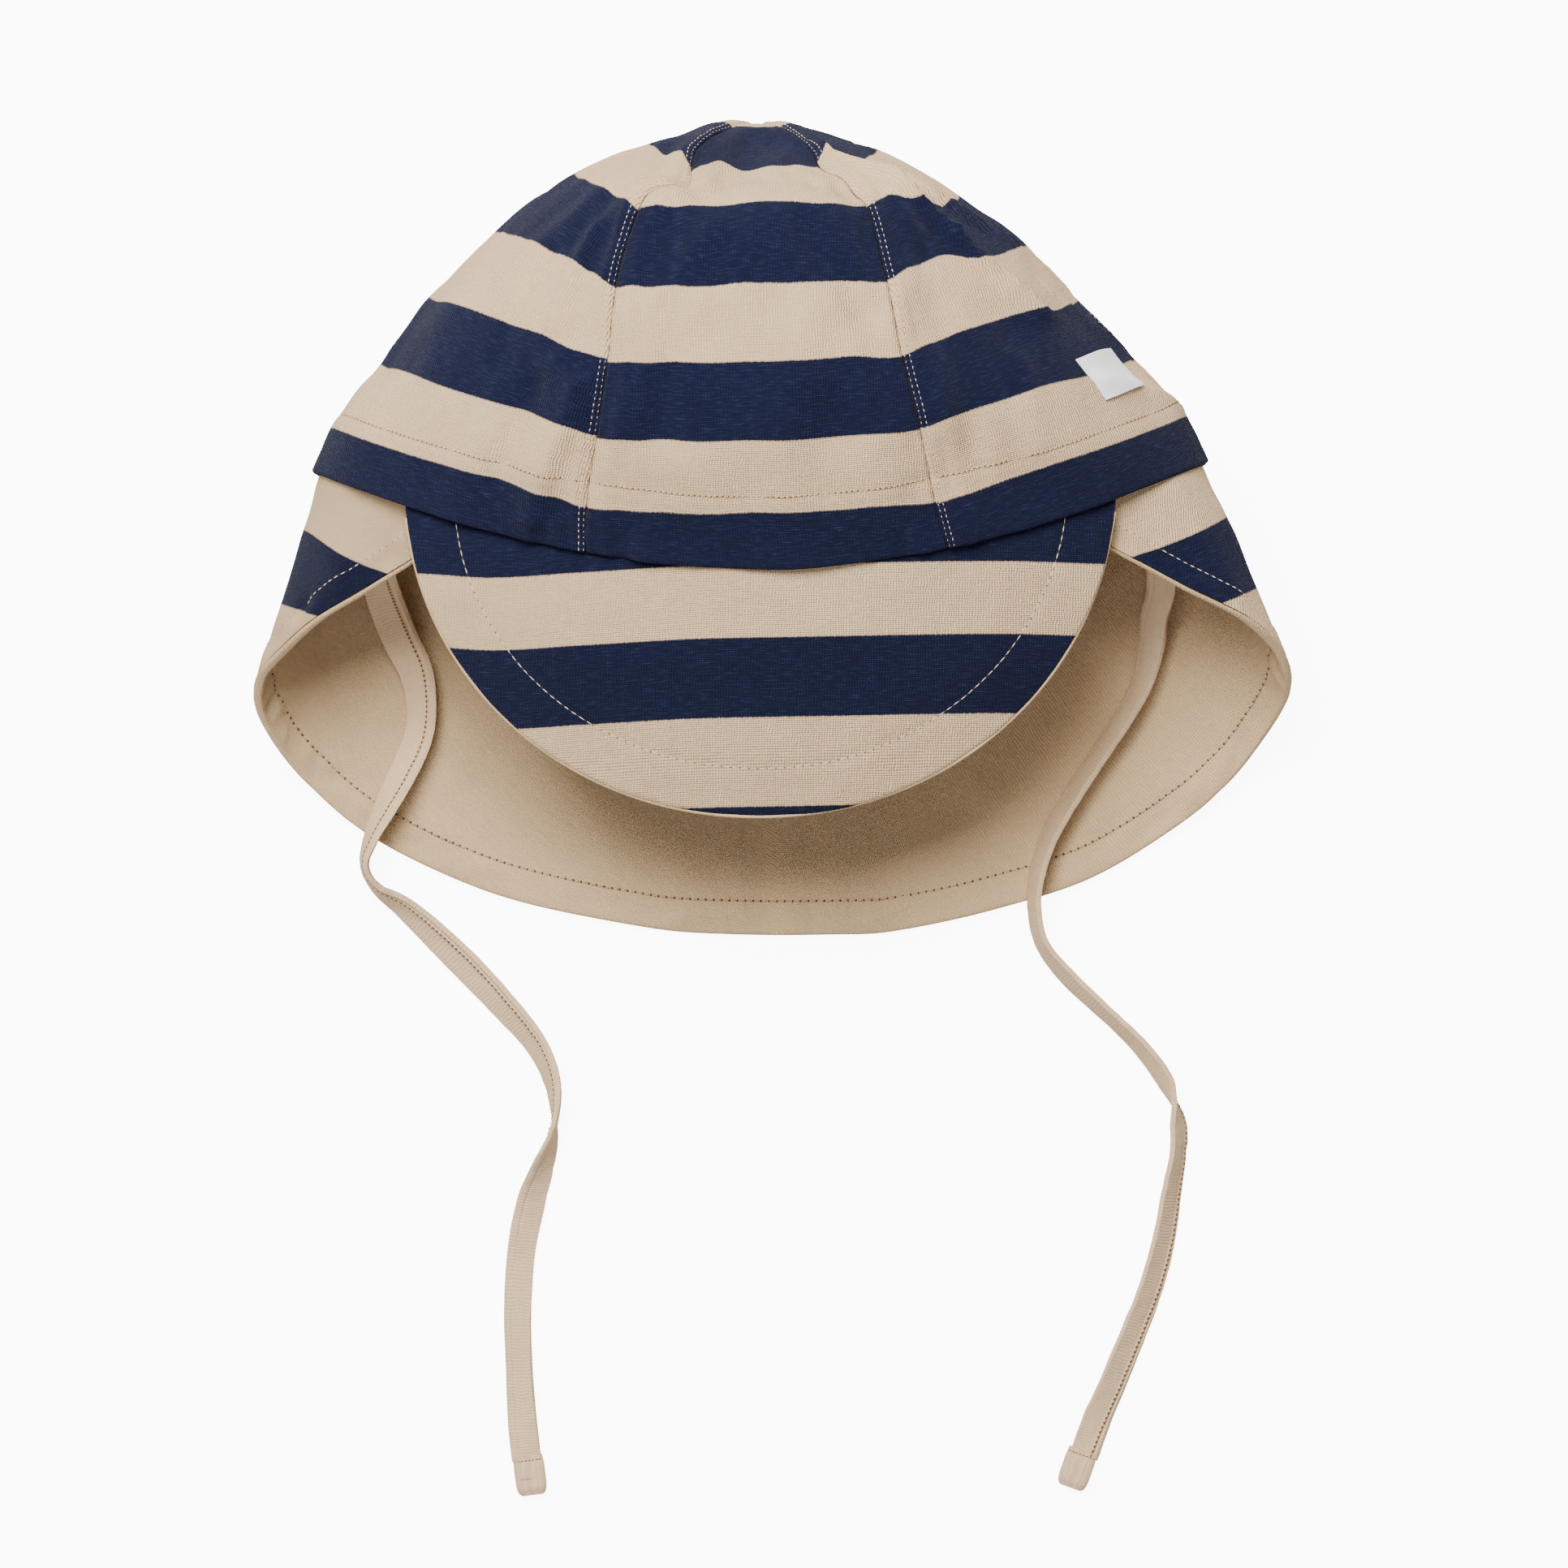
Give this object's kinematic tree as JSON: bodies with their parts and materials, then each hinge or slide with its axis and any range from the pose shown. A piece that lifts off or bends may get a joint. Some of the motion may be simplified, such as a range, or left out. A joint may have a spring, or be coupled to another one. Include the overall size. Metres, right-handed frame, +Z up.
{
  "type": "child's sun hat with neck flap",
  "caption": "Child's striped jersey sun hat lying on its back, with a rounded peak, a lined neck flap and flat cloth ties.",
  "frame": {"origin": "on the surface the hat lies on, at the middle of the flat back of the crown", "axes": "+X towards the picture's right, across the hat; +Z up from the surface; the crown's tip points to +Y and its opening to -Y"},
  "size_m": [0.2589, 0.3405, 0.0896],
  "materials": {
    "striped_jersey": "matte",
    "plain_lining": "matte",
    "tie_jersey": "matte",
    "label_tape": "matte"
  },
  "bodies": {
    "root": {"crown_panel_front": "striped_jersey", "crown_panel_front_right": "striped_jersey", "crown_panel_back_right": "striped_jersey", "crown_panel_back": "striped_jersey", "crown_panel_back_left": "striped_jersey", "crown_panel_front_left": "striped_jersey", "peak": "striped_jersey", "neck_flap": "striped_jersey", "flap_lining": "plain_lining", "tie_left": "tie_jersey", "tie_left_end": "tie_jersey", "tie_right": "tie_jersey", "tie_right_end": "tie_jersey", "side_label": "label_tape"}
  },
  "joints": []
}
